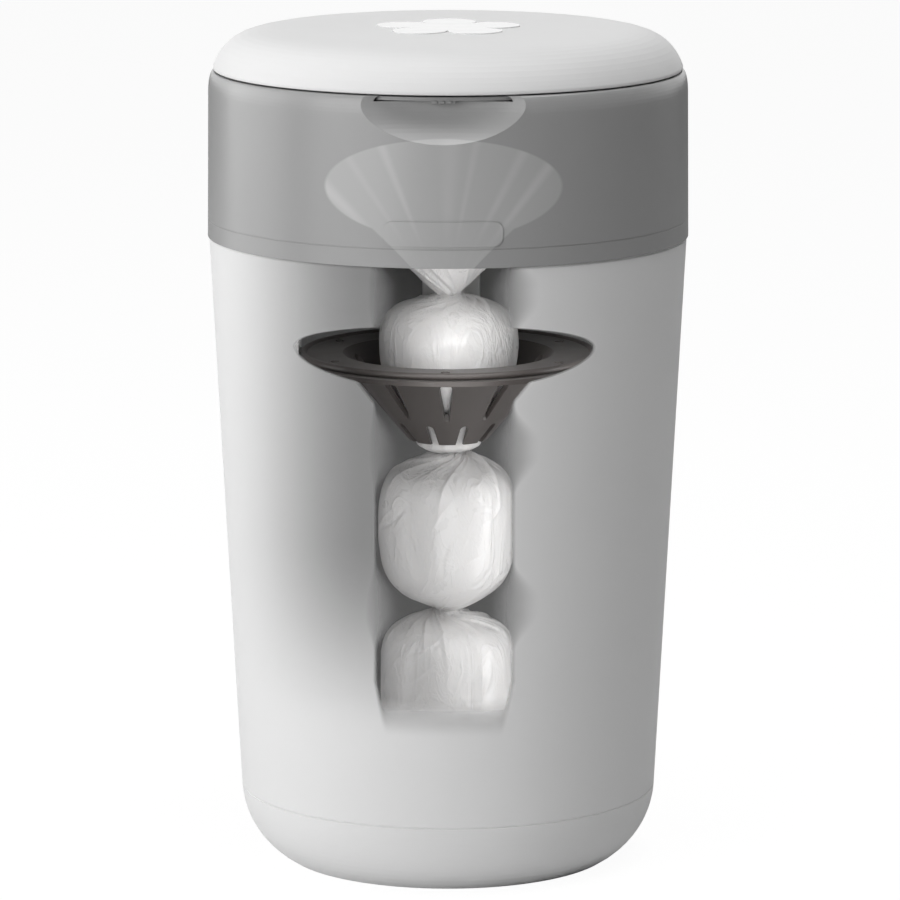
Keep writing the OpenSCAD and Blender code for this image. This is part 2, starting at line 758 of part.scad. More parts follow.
module cassette_cover() color(grey) {
    r0 = cassette_bore + cassette_wall + film_slot;
    r1 = cassette_out - cassette_wall - fit_clear;
    revolve([[r0, cassette_top], [r0 + 1, cassette_top - 1], [r0 + 2, cassette_top],
        [r1 - 2, cassette_top], [r1 - 2, cassette_top - 3], [r1, cassette_top - 3],
        [r1, cassette_top], [cassette_out, cassette_top], [cassette_out, cassette_top + cover_t - 0.8],
        [cassette_out - 0.8, cassette_top + cover_t], [r0 + 0.8, cassette_top + cover_t],
        [r0, cassette_top + cover_t - 0.8]]);
}

// Film packed in concertina pleats
module film_pack() color(film) {
    r0 = cassette_bore + cassette_wall + gap;
    r1 = cassette_out - cassette_wall - gap;
    z0 = cassette_z + cassette_wall;
    z1 = cassette_top - film_slot - 1;
    step = (z1 - z0) / film_pleats;
    revolve(concat([[r0 + 1, z0]],
        [for (i = [0:film_pleats - 1]) each [[r1 - 1.6, z0 + step * i],
            [r1, z0 + step * (i + 0.5)]]],
        [[r1 - 1.6, z1], [r0 + 1, z1]]));
}

// Film drawn over the cassette's inner wall and down to the twisted neck. The
// rings run up the outside, over the wall and down the inside.
module film_funnel() color(film) {
    t = film_t;
    over = cassette_top - film_slot + 0.6 + fit_clear;
    exit_r = cassette_bore + cassette_wall + film_slot / 2;
    bend_z = ring_z - 1;
    drop = bend_z - neck_z;
    // shares of the bore radius and of the drop, with the fold share
    shape = [[0.19, 0.86, 0.08], [0.3, 0.72, 0.07], [0.47, 0.54, 0.05], [0.67, 0.35, 0.035],
        [0.86, 0.17, 0.02], [0.97, 0.04, 0.01]];
    outside = [for (s = shape)
        film_ring(film_r * s[0], bend_z - drop * s[1], s[2], 40 * s[1])];
    inside = [for (i = [len(shape) - 1:-1:0]) let (s = shape[i])
        film_ring(film_r * s[0] - 1.4 * t, bend_z - drop * s[1] + 0.6 * t, s[2], 40 * s[1])];
    loft(concat(
        [film_ring(neck_r, neck_z, 0.02, 50), film_ring(neck_r, neck_z + 2.5, 0.06, 45)],
        outside,
        [film_ring(film_r + 0.2, bend_z, 0.004, 0), film_ring(film_r + 0.2, over - 1, 0.004, 0),
            film_ring(film_r + 0.8, over, 0.002, 0), film_ring(exit_r - 0.8, over, 0.001, 0),
            film_ring(exit_r, over - 0.9, 0.001, 0), film_ring(exit_r + 0.5, over, 0.001, 0),
            film_ring(exit_r - 0.4, over + t, 0.001, 0), film_ring(film_r, over + t, 0.002, 0),
            film_ring(film_r - t, over - 1, 0.004, 0), film_ring(film_r - t, bend_z, 0.004, 0)],
        inside,
        [film_ring(film_r * 0.08, bend_z - drop * 0.85, 0.02, 34)]));
}

// ---------- lid ----------

function dome(r, edge_r, height) = height * pow(max(0, 1 - pow(r / edge_r, dome_a)), 1 / dome_b);
function dome_points(edge_r, z, height) = [for (i = [0:dome_steps])
    let (r = edge_r * pow(sin(90 * i / dome_steps), 0.35))
    [r, z + dome(r, edge_r, height) + lid_crown * (1 - pow(r / edge_r, 2))]];

module blossom(grow) {
    for (i = [0:4]) rotate(90 + 72 * i) translate([petal_pitch, 0]) circle(r = petal_r + grow);
    circle(r = petal_pitch * 0.8 + grow);
}

lid_top = lid_z + lid_lip + lid_h - lid_gap + lid_crown;
ornament_t = 1.2;
lid_knuckle_foot = lid_axis_y - 9;

module lid_shell() color(white) {
    edge = lid_z + lid_lip;
    height = lid_h - lid_gap;
    inside = lid_r - lid_wall;
    difference() {
        union() {
            difference() {
                union() {
                    revolve(concat([[0, lid_z]], [[lid_r - 0.5, lid_z], [lid_r, lid_z + 0.5]],
                        [for (i = [dome_steps:-1:0]) dome_points(lid_r, edge, height)[i]]));
                    along_x(-lid_knuckle, lid_knuckle) {
                        translate([lid_axis_y, lid_axis_z]) circle(r = knuckle_r);
                        translate([lid_knuckle_foot, lid_axis_z - 1.6])
                            square([lid_axis_y - lid_knuckle_foot, 4]);
                    }
                }
                revolve(concat([[0, lid_z - cut]], [[inside, lid_z - cut]],
                    [for (i = [dome_steps:-1:0]) dome_points(inside, edge, height - lid_wall)[i]]));
            }
            around(4, 45) translate([lid_screw_circle, 0, liner_z + liner_t + fit_clear])
                cylinder(r = boss_r, h = edge + height - lid_wall - liner_z - liner_t);
        }
        around(4, 45) translate([lid_screw_circle, 0, liner_z])
            cylinder(r = screw_r + fit_clear, h = 13);
        translate([0, 0, lid_top - ornament_t]) linear_extrude(ornament_t + cut)
            blossom(fit_clear);
        pin_along_x(lid_axis_y, lid_axis_z, pin_r + run_clear, lid_knuckle + cut);
    }
}

module lid_liner() color(white) {
    low = liner_z + liner_dish;
    difference() {
        revolve([[0, low], [dish_r, low], [dish_r + dish_slope, liner_z], [liner_r, liner_z],
            [liner_r, liner_z + liner_t], [dish_r + dish_slope - 1, liner_z + liner_t],
            [dish_r - 1, low + liner_t], [0, low + liner_t]]);
        around(4, 45) translate([lid_screw_circle, 0, liner_z - cut])
            cylinder(r = screw_r + fit_clear, h = liner_t + 2 * cut);
    }
}

module lid_seal() color(rubber)
    revolve([[seal_in, liner_z], [seal_in, land_z + gap + 1.5], [seal_in + 1, land_z + gap],
        [seal_out - 1, land_z + gap], [seal_out, land_z + gap + 1.5], [seal_out, liner_z]]);

module lid_screws() color(steel)
    around(4, 45) translate([lid_screw_circle, 0, liner_z]) screw(12);

// Tongue under the lid's front edge, with three ribs that face the fingers
module lid_catch() color(white) {
    half = 6.2;
    foot = deck_z - 0.9;
    back = head_r - scoop_depth * (1 - pow((head_top - foot) / scoop_h, 2)) + gap;
    front = back + 5;
    translate([-half, -front, foot]) cube([2 * half, front - back, liner_z - foot]);
    for (x = [-1, 0, 1]) translate([x * 3.8 - 0.7, -front - 0.8, foot + 0.3])
        cube([1.4, 1, liner_z - foot - 0.3]);
}

module lid_ornament() color([0.98, 0.98, 0.98])
    translate([0, 0, lid_top - ornament_t]) linear_extrude(ornament_t + ornament_h) blossom(0);

tub();
base_cup();
head_hinge_pin();
pouch_middle();
pouch_lower();
film_tail();
head_shell();
label_panel();
deck();
carrier();
carrier_screws();
gripper_ring();
gripper_disc();
gripper_pins();
cutter_housing();
cutter_blade();
click_pawl();
head_catches();
lid_hinge_pin();
pouch_upper();
twist_ring();
cassette_body();
cassette_cover();
film_pack();
film_funnel();
lid_shell();
lid_liner();
lid_seal();
lid_screws();
lid_catch();
lid_ornament();
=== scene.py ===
"""Nappy bin: materials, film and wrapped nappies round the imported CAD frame.

The camera, the lamps and the materials are in metres. The film's profiles and folds are
in millimetres, until new_piece or new_sheet makes a mesh of them.
"""

import json
import math

import bpy
import numpy as np
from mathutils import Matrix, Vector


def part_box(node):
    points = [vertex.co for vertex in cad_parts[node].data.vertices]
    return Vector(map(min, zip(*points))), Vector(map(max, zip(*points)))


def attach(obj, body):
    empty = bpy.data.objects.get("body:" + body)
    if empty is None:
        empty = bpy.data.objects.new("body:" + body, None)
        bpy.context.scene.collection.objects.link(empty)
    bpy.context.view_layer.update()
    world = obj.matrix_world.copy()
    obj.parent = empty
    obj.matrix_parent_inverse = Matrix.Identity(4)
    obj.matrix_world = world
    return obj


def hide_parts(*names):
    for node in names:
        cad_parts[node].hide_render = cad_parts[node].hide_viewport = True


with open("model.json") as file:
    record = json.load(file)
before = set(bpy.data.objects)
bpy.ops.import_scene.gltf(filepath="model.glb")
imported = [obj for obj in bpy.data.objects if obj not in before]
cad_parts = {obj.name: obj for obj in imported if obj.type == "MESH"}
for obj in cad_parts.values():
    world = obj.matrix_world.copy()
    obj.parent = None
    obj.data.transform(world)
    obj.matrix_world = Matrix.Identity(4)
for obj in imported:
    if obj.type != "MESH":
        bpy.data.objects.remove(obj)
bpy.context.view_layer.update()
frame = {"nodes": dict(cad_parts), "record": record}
TAU = 2 * math.pi

# ---------- camera, stage and lights ----------

# The photograph's view: a long lens, a little above the bin
CAMERA_DISTANCE = 3.060
CAMERA_HEIGHT = 0.782
CAMERA_TURN = math.radians(1.2)
CAMERA_PITCH = math.radians(79.62)
CAMERA_SHIFT = 0.0021
CAMERA_REACH = 60
FOCAL_PX = 5749
IMAGE_PX = 900
SENSOR_MM = 36

# Each lamp: azimuth (0 in front, 90 at the bin's right), elevation, distance, size, power
# and the point that it faces
MIDDLE = (0, 0, 0.24)
LAMPS = {
    "key": (-42, 14, 2.6, (2.2, 1.7), 39, MIDDLE),
    "side": (-104, 10, 2.6, (2.2, 1.8), 27, MIDDLE),
    "top": (60, 78, 2.4, (1.8, 1.8), 39, MIDDLE),
    "rim": (128, 12, 2.6, (0.8, 1.2), 1.2, MIDDLE),
    # strips in the tub, which bring the wrapped nappies to the level of the outside
    "inside_right": (60, 0, 0.104, (0.03, 0.24), 0.085, (0, 0, 0.17)),
    "inside_front": (5, 0, 0.103, (0.05, 0.24), 0.050, (0, 0, 0.165)),
    "inside_left": (-62, 0, 0.104, (0.03, 0.24), 0.030, (0, 0, 0.18)),
    "inside_top": (10, 6, 0.104, (0.09, 0.03), 0.042, (0, 0, 0.302)),
}
AMBIENT = 0.02

FLOOR_HALF = 14
FLOOR_Z = -0.0002
FLOOR_COLOUR = 0.8
# The floor's own light, for the camera alone, and its share there. The rest shows shadows.
FLOOR_GLOW = 1.06
FLOOR_GLOW_SHARE = 0.90


def make_camera():
    data = bpy.data.cameras.new("camera")
    data.sensor_fit = "HORIZONTAL"
    data.sensor_width = SENSOR_MM
    data.lens = FOCAL_PX * SENSOR_MM / IMAGE_PX
    data.shift_x = CAMERA_SHIFT
    data.clip_end = CAMERA_REACH
    camera = bpy.data.objects.new("camera", data)
    camera.location = (
        CAMERA_DISTANCE * math.sin(CAMERA_TURN),
        -CAMERA_DISTANCE * math.cos(CAMERA_TURN),
        CAMERA_HEIGHT,
    )
    camera.rotation_euler = (CAMERA_PITCH, 0, CAMERA_TURN)
    bpy.context.scene.collection.objects.link(camera)
    bpy.context.scene.camera = camera


def make_lamp(name, azimuth, elevation, distance, size, power, aim):
    """A rectangular lamp. The camera doesn't see the ones in the tub."""
    a, e = math.radians(azimuth), math.radians(elevation)
    data = bpy.data.lights.new(name, "AREA")
    data.shape = "RECTANGLE"
    data.size, data.size_y = size
    data.energy = power
    lamp = bpy.data.objects.new(name, data)
    lamp.visible_camera = not name.startswith("inside_")
    away = np.array([math.sin(a) * math.cos(e), -math.cos(a) * math.cos(e), math.sin(e)])
    lamp.location = away * distance + np.array(aim)
    x, y, z = away
    lamp.rotation_euler = (math.acos(z), 0, math.atan2(x, -y))
    bpy.context.scene.collection.objects.link(lamp)


def make_world():
    """White behind the bin and in its gloss, and a low even light on it."""
    world = bpy.data.worlds.new("studio")
    bpy.context.scene.world = world
    world.use_nodes = True
    tree = Tree(world.node_tree)
    path = tree.add("LightPath")
    seen = tree.math("MAXIMUM", path.outputs["Is Camera Ray"], path.outputs["Is Glossy Ray"])
    seen = tree.math("MAXIMUM", seen, path.outputs["Is Transmission Ray"])
    white = tree.add("Background")
    white.inputs["Color"].default_value = (1, 1, 1, 1)
    tree.link(tree.scale(seen, AMBIENT, 1), white.inputs["Strength"])
    tree.link(white.outputs[0], tree.add("OutputWorld").inputs["Surface"])


def make_floor():
    """A pale floor that is white to the camera, apart from the bin's shadow."""
    mesh = bpy.data.meshes.new("floor")
    corners = ((-1, -1), (1, -1), (1, 1), (-1, 1))
    points = [(FLOOR_HALF * x, FLOOR_HALF * y, FLOOR_Z) for x, y in corners]
    mesh.from_pydata(points, [], [(0, 1, 2, 3)])
    floor = bpy.data.objects.new("floor", mesh)
    bpy.context.scene.collection.objects.link(floor)
    material = bpy.data.materials.new("pale_floor")
    material.use_nodes = True
    tree = Tree(material.node_tree)
    diffuse = tree.add("BsdfDiffuse")
    diffuse.inputs["Color"].default_value = (FLOOR_COLOUR, FLOOR_COLOUR, FLOOR_COLOUR, 1)
    glow = tree.add("Emission")
    glow.inputs["Color"].default_value = (1, 1, 1, 1)
    glow.inputs["Strength"].default_value = FLOOR_GLOW
    mix = tree.add("MixShader")
    seen = tree.add("LightPath").outputs["Is Camera Ray"]
    tree.link(tree.scale(seen, 0, FLOOR_GLOW_SHARE), mix.inputs[0])
    tree.link(diffuse.outputs[0], mix.inputs[1])
    tree.link(glow.outputs[0], mix.inputs[2])
    tree.link(mix.outputs[0], tree.add("OutputMaterial").inputs["Surface"])
    mesh.materials.append(material)


# ---------- node helpers ----------


class Tree:
    """A node tree, with short calls for the nodes that this file uses."""

    def __init__(self, tree):
        self.tree = tree
        tree.nodes.clear()

    def add(self, kind, **values):
        node = self.tree.nodes.new("ShaderNode" + kind)
        for key, value in values.items():
            setattr(node, key, value)
        return node

    def link(self, source, target):
        self.tree.links.new(source, target)

    def put(self, value, socket):
        if isinstance(value, bpy.types.NodeSocket):
            self.link(value, socket)
        else:
            socket.default_value = value

    def math(self, kind, a, b=0.0, clamp=False):
        node = self.add("Math", operation=kind, use_clamp=clamp)
        self.put(a, node.inputs[0])
        self.put(b, node.inputs[1])
        return node.outputs[0]

    def plus(self, a, b):
        return self.math("ADD", a, b)

    def minus(self, a, b):
        return self.math("SUBTRACT", a, b)

    def times(self, a, b):
        return self.math("MULTIPLY", a, b)

    def divided(self, a, b):
        return self.math("DIVIDE", a, b)

    def absolute(self, a):
        return self.math("ABSOLUTE", a)

    def reach(self, across, up):
        """Length of a flat vector."""
        return self.math("SQRT", self.plus(self.times(across, across), self.times(up, up)))

    def scale(self, value, low, high, start=0.0, end=1.0, smooth=False):
        """Value from start..end to low..high."""
        node = self.add("MapRange")
        node.clamp = True
        if smooth:
            node.interpolation_type = "SMOOTHSTEP"
        self.put(value, node.inputs["Value"])
        self.put(start, node.inputs["From Min"])
        self.put(end, node.inputs["From Max"])
        self.put(low, node.inputs["To Min"])
        self.put(high, node.inputs["To Max"])
        return node.outputs[0]

    def place(self):
        """Place in the rest frame, as a vector and as x, y and z."""
        where = self.add("TexCoord").outputs["Object"]
        split = self.add("SeparateXYZ")
        self.link(where, split.inputs[0])
        return where, *split.outputs

    def noise(self, vector, scale, detail, stretch=None, distortion=0.0):
        if stretch:
            mapping = self.add("Mapping")
            mapping.inputs["Scale"].default_value = stretch
            self.link(vector, mapping.inputs["Vector"])
            vector = mapping.outputs[0]
        node = self.add("TexNoise")
        node.inputs["Scale"].default_value = scale
        node.inputs["Detail"].default_value = detail
        node.inputs["Distortion"].default_value = distortion
        self.link(vector, node.inputs["Vector"])
        return node.outputs["Fac"]

    def spread_noise(self, noise, low, high):
        """Noise, which stays near its middle, stretched over low..high."""
        return self.scale(noise, low, high, 0.3, 0.7)

    def shade(self, factor, low, high):
        """Colour between two colours."""
        node = self.add("Mix", data_type="RGBA")
        self.put(factor, node.inputs["Factor"])
        self.put((*low, 1) if isinstance(low, tuple) else low, node.inputs[6])
        self.put((*high, 1) if isinstance(high, tuple) else high, node.inputs[7])
        return node.outputs[2]

    def bump(self, height, strength, distance, normal=None):
        node = self.add("Bump")
        node.inputs["Strength"].default_value = strength
        node.inputs["Distance"].default_value = distance
        self.link(height, node.inputs["Height"])
        if normal:
            self.link(normal, node.inputs["Normal"])
        return node.outputs["Normal"]

    def soft_edge(self, radius):
        node = self.add("Bevel", samples=4)
        node.inputs["Radius"].default_value = radius
        return node.outputs["Normal"]


def grey(level):
    return (level, level, level)


def tone(colour, share):
    return tuple(min(1.0, c * share) for c in colour)


class Surface:
    """A Principled material with grain, mottled colour and uneven gloss."""

    MOTTLE_SCALE = 9
    GLOSS_SCALE = 55
    GLOSS_SPREAD = 0.04
    GRAIN_STRENGTH = 0.5

    def __init__(
        self, name, colour, rough, spread, grain=0.00002, grain_scale=1400, edge=0.0004
    ):
        self.material = bpy.data.materials.new(name)
        self.material.use_nodes = True
        self.tree = tree = Tree(self.material.node_tree)
        self.shader = tree.add("BsdfPrincipled")
        tree.link(self.shader.outputs[0], tree.add("OutputMaterial").inputs["Surface"])
        self.where, self.x, self.y, self.z = tree.place()
        mottle = tree.noise(self.where, self.MOTTLE_SCALE, 3)
        self.colour = tree.shade(
            tree.spread_noise(mottle, 0, 1), tone(colour, 1 - spread), tone(colour, 1 + spread)
        )
        uneven = tree.noise(self.where, self.GLOSS_SCALE, 3)
        self.rough = tree.spread_noise(
            uneven, rough - self.GLOSS_SPREAD, rough + self.GLOSS_SPREAD
        )
        self.normal = tree.bump(
            tree.noise(self.where, grain_scale, 1),
            self.GRAIN_STRENGTH,
            grain,
            tree.soft_edge(edge) if edge else None,
        )

    def inner_side(self):
        """1 where the surface faces the bin's axis, otherwise 0."""
        tree = self.tree
        face = tree.add("SeparateXYZ")
        tree.link(tree.add("NewGeometry").outputs["True Normal"], face.inputs[0])
        outwards = tree.plus(
            tree.times(face.outputs[0], self.x), tree.times(face.outputs[1], self.y)
        )
        return tree.math("LESS_THAN", outwards, 0)

    def set(self, name, value):
        self.tree.put(value, self.shader.inputs[name])
        return self

    def done(self):
        self.set("Base Color", self.colour)
        self.set("Roughness", self.rough)
        self.set("Normal", self.normal)
        return self.material


# ---------- the tub's see-through front ----------

# All of these lie on the tub's wall, where the photograph's view sees what is behind it.
# The gripper's rim: half its width, its middle, and half its height above and below that
RIM_HALF = 0.0768
RIM_Z = 0.2943
RIM_ABOVE, RIM_BELOW = 0.0152, 0.0188
RIM_EDGE = 1.035
# The gripper's funnel: half its width at its lower and upper end
FUNNEL_Z = (0.2563, 0.2963)
FUNNEL_HALF = (0.0250, 0.0580)
FUNNEL_EDGE = 0.003
# The column of nappies, which narrows and fades out at its foot, and is softer at the necks
COLUMN_Z = (0.088, 0.118)
COLUMN_HALF = (0.0285, 0.0345)
COLUMN_EDGE = 0.0035
FADE_Z = (0.088, 0.111)
NECKS_Z = (0.3255, 0.2429, 0.1588)
NECK_REACH = (0.004, 0.024)
NECK_SOFT = 0.013
# The dark halo at the column's left, which grows weaker downwards. It is partly see-through
# and partly painted shade on the tub's front.
HALO_X = (-0.124, -0.038)
HALO_Z = (0.078, 0.198)
HALO_MOST = 0.92
HALO_CLEAR = 0.40
# How strongly the halo's painted shade darkens the tub's front
HALO_PAINTED_SHADE = 0.82


def ghost_mask(tree, x, y, z):
    """How far the tub's front is see-through, and how far it has painted shade."""
    above = tree.minus(z, RIM_Z)
    rim_half = tree.scale(above, RIM_BELOW, RIM_ABOVE, -0.001, 0.001)
    reach = tree.reach(tree.divided(x, RIM_HALF), tree.divided(above, rim_half))
    rim = tree.scale(reach, 1, 0, 1, RIM_EDGE, smooth=True)

    past = tree.minus(tree.absolute(x), tree.scale(z, *FUNNEL_HALF, *FUNNEL_Z))
    funnel = tree.scale(past, 1, 0, 0, FUNNEL_EDGE, smooth=True)
    funnel = tree.times(funnel, tree.math("GREATER_THAN", z, FUNNEL_Z[0]))
    funnel = tree.times(funnel, tree.math("LESS_THAN", z, FUNNEL_Z[1]))

    soft = 0.0
    for neck in NECKS_Z:
        off = tree.absolute(tree.minus(z, neck))
        near = tree.scale(off, NECK_SOFT, 0, *NECK_REACH, smooth=True)
        soft = tree.math("MAXIMUM", near, soft)
    edge = tree.scale(z, *COLUMN_HALF, *COLUMN_Z)
    start = tree.minus(edge, soft)
    end = tree.plus(tree.plus(soft, edge), COLUMN_EDGE)
    right = tree.scale(x, 1, 0, start, end, smooth=True)
    left = tree.scale(tree.times(x, -1), 1, 0, start, end, smooth=True)

    halo = tree.scale(x, 0, 1, *HALO_X, smooth=True)
    halo = tree.times(halo, tree.scale(z, 0, HALO_MOST, *HALO_Z, smooth=True))
    # Painted shade over the halo, which darkens the colour of the tub's front
    painted_shade = tree.times(tree.times(halo, right), HALO_PAINTED_SHADE)
    left = tree.math("MAXIMUM", left, tree.times(halo, HALO_CLEAR))
    low = tree.scale(z, 0, 1, *FADE_Z, smooth=True)
    column = tree.times(tree.times(left, right), low)

    opaque = tree.times(tree.minus(1, rim), tree.minus(1, column))
    opaque = tree.times(opaque, tree.minus(1, funnel))
    front = tree.math("LESS_THAN", y, 0)
    return tree.times(tree.minus(1, opaque), front), tree.times(painted_shade, front)


# ---------- the film's fan on the band ----------

# Painted on the front of the band, as if the film showed faintly through it: an oval top
# over a cone down to the neck
FAN_MIDDLE_Z = 0.381
FAN_HALF = 0.0614
FAN_RISE = 0.026
FAN_OVAL_EDGE = (0.985, 1.01)
FAN_CONE_EDGE = (0.975, 1.015)
FAN_NECK_Z = 0.332
FAN_NECK_HALF = 0.010
FAN_CONE_CURVE = 1.18
# The streaks spread from this point (x, z), and fade out downwards
FAN_APEX = (0.001, 0.322)
FAN_FADE_Z = (0.352, 0.372)
FAN_FADE_LEAST = 0.15
# Each streak: angle and half width in degrees, strength
FAN_STREAKS = [
    (-47, 4.0, 0.8),
    (-34, 2.4, 0.3),
    (-22, 2.6, 0.55),
    (2, 6.0, 0.3),
    (11, 2.4, 0.35),
    (27.5, 3.0, 0.5),
    (37.5, 3.0, 0.7),
]


def fan_tint(tree, x, y, z):
    """The fan's outline and its lighter streaks, as two factors on the band."""
    above = tree.minus(z, FAN_MIDDLE_Z)
    reach = tree.reach(tree.divided(x, FAN_HALF), tree.divided(above, FAN_RISE))
    oval = tree.scale(reach, 1, 0, *FAN_OVAL_EDGE)

    rise = tree.divided(tree.minus(z, FAN_NECK_Z), FAN_MIDDLE_Z - FAN_NECK_Z)
    curve = tree.math("POWER", tree.math("MAXIMUM", rise, 0), FAN_CONE_CURVE)
    half = tree.plus(tree.times(curve, FAN_HALF - FAN_NECK_HALF), FAN_NECK_HALF)
    cone = tree.scale(tree.divided(tree.absolute(x), half), 1, 0, *FAN_CONE_EDGE)
    cone = tree.times(cone, tree.math("LESS_THAN", above, 0))
    fan = tree.times(tree.math("MAXIMUM", oval, cone), tree.math("LESS_THAN", y, 0))

    angle = tree.math("ARCTAN2", tree.minus(x, FAN_APEX[0]), tree.minus(z, FAN_APEX[1]))
    angle = tree.times(angle, 180 / math.pi)
    streaks = 0.0
    for middle, half_width, strength in FAN_STREAKS:
        off = tree.absolute(tree.minus(angle, middle))
        line = tree.scale(off, strength, 0, 0, half_width, smooth=True)
        streaks = tree.math("ADD", line, streaks, clamp=True)
    fade = tree.scale(z, FAN_FADE_LEAST, 1, *FAN_FADE_Z, smooth=True)
    return fan, tree.times(tree.times(streaks, fade), fan)


# ---------- materials ----------

WHITE = grey(0.80)
# The white tub's inner side, painted darker as shade
INSIDE_PAINTED_SHADE = grey(0.30)
# Colour of the painted shade over the halo on the tub's front
PAINTED_SHADE = grey(0.22)
BAND = grey(0.32)
FAN, FAN_SHARE = grey(0.55), 0.42
STREAK, STREAK_SHARE = grey(0.75), 0.3
INNER_WHITE = (0.74, 0.74, 0.73)
INNER_GREY = grey(0.27)
RUBBER = (0.075, 0.066, 0.062)
STEEL = (0.62, 0.63, 0.65)
ORNAMENT = grey(0.9)
FILM = (0.83, 0.82, 0.815)


def white_shell(ghost=False):
    """Satin white plastic. As ghost, the tub's: see-through in front, with painted shade on the
    halo there and on its inner side.
    """
    s = Surface("white_shell_ghost" if ghost else "white_shell", WHITE, 0.55, 0.008)
    s.set("Specular IOR Level", 0.2)
    if ghost:
        clear, painted_shade = ghost_mask(s.tree, s.x, s.y, s.z)
        # Painted shade over the halo on the tub's front
        s.colour = s.tree.shade(painted_shade, s.colour, PAINTED_SHADE)
        # Painted shade: the tub's inner side is darker
        s.colour = s.tree.shade(s.inner_side(), s.colour, INSIDE_PAINTED_SHADE)
        s.set("Alpha", s.tree.minus(1, clear))
    return s.done()


def grey_band(with_fan=False):
    s = Surface("grey_band_front" if with_fan else "grey_band", BAND, 0.38, 0.012)
    s.set("Specular IOR Level", 0.25).set("Coat Weight", 0.55).set("Coat Roughness", 0.26)
    if with_fan:
        fan, streaks = fan_tint(s.tree, s.x, s.y, s.z)
        s.colour = s.tree.shade(s.tree.times(fan, FAN_SHARE), s.colour, FAN)
        s.colour = s.tree.shade(s.tree.times(streaks, STREAK_SHARE), s.colour, STREAK)
    return s.done()


def inner_plastic(name, colour, rough, spread):
    return Surface(name, colour, rough, spread, 0.00003, 1100).done()


def rubber():
    s = Surface("gripper_rubber", RUBBER, 0.46, 0.06, 0.00006, 900)
    s.set("Sheen Weight", 0.12).set("Sheen Roughness", 0.4)
    return s.done()


def steel():
    """Steel, with gloss drawn out along x."""
    s = Surface("steel", STEEL, 0.28, 0.02, 0.00001, 900, 0.0002)
    drawn = s.tree.noise(s.where, 500, 2, stretch=(0.04, 1, 1))
    s.rough = s.tree.spread_noise(drawn, 0.22, 0.38)
    s.set("Metallic", 1.0)
    return s.done()


def ornament():
    s = Surface("ornament", ORNAMENT, 0.16, 0.004, 0.000008, 700, 0.0002)
    s.set("Coat Weight", 0.5).set("Coat Roughness", 0.08)
    return s.done()


# Two sizes of crease in the film: noise scale, stretch and depth
FILM_CREASES = ((55, (1, 1, 0.30), 0.0009), (130, (1, 1, 0.45), 0.0003))
FILM_CREASE_WIDTH = 0.07
FILM_CREASE_STRENGTH = 0.4


def film():
    """Thin milky film: satin gloss, fine creases and slightly uneven milkiness."""
    s = Surface("film", FILM, 0.3, 0.025, 0.00003, 700, 0)
    for scale, stretch, depth in FILM_CREASES:
        crease = s.tree.noise(s.where, scale, 4, stretch=stretch, distortion=1.2)
        off = s.tree.absolute(s.tree.minus(crease, 0.5))
        line = s.tree.scale(off, 1, 0, 0, FILM_CREASE_WIDTH)
        s.normal = s.tree.bump(line, FILM_CREASE_STRENGTH, depth, s.normal)
    s.set("Coat Weight", 0.35).set("Coat Roughness", 0.18)
    s.set("Subsurface Weight", 0.12).set("Subsurface Radius", (0.006, 0.0055, 0.005))
    s.set("Subsurface Scale", 0.4)
    return s.done()


# ---------- meshes ----------


def new_piece(name, points, faces, material, body, smooth=True):
    """A piece of film from points in millimetres."""
    mesh = bpy.data.meshes.new(name)
    mesh.from_pydata((points / 1000).tolist(), [], faces)
    mesh.validate()
    if smooth:
        mesh.polygons.foreach_set("use_smooth", [True] * len(mesh.polygons))
    mesh.materials.append(material)
    piece = bpy.data.objects.new(name, mesh)
    bpy.context.scene.collection.objects.link(piece)
    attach(piece, body)
    return piece


def new_sheet(name, rings, material, body, smooth=True):
    """A sheet of film from rings that follow each other, open at both ends."""
    rows, columns, _ = rings.shape
    faces = grid_faces(rows, columns)
    return new_piece(name, rings.reshape(-1, 3), faces, material, body, smooth)


def grid_faces(rows, columns, first=0):
    """Quads of a tube whose rings follow each other upwards."""
    i = np.arange(rows - 1)[:, None] * columns + first
    j = np.arange(columns)[None, :]
    k = (j + 1) % columns
    quads = np.stack([i + j, i + k, i + columns + k, i + columns + j], axis=-1)
    return quads.reshape(-1, 4).tolist()


def closed_tube(rings, first=0):
    """Points and faces of a tube with its two ends closed by fans."""
    rows, columns, _ = rings.shape
    points = rings.reshape(-1, 3)
    ends = np.array([rings[0].mean(axis=0), rings[-1].mean(axis=0)])
    low, high = first + len(points), first + len(points) + 1
    faces = grid_faces(rows, columns, first)
    top = first + (rows - 1) * columns
    for j in range(columns):
        k = (j + 1) % columns
        faces.append((low, first + k, first + j))
        faces.append((high, top + j, top + k))
    return np.concatenate([points, ends]), faces


def joined(tubes):
    """One set of points and faces from several closed tubes."""
    points, faces, first = [], [], 0
    for rings in tubes:
        p, f = closed_tube(rings, first)
        points.append(p)
        faces += f
        first += len(p)
    return np.concatenate(points), faces


def sweep(path, radii, sides=10):
    """Rings round a path, without twist."""
    along = np.gradient(path, axis=0)
    along /= np.linalg.norm(along, axis=1)[:, None]
    side = np.cross(along[0], [0, 0, 1])
    side /= np.linalg.norm(side)
    a = np.linspace(0, TAU, sides, endpoint=False)
    rings = []
    for point, t, radius in zip(path, along, radii):
        side = side - t * side.dot(t)
        side /= np.linalg.norm(side)
        other = np.cross(t, side)
        rings.append(point + radius * (np.outer(np.cos(a), side) + np.outer(np.sin(a), other)))
    return np.array(rings)


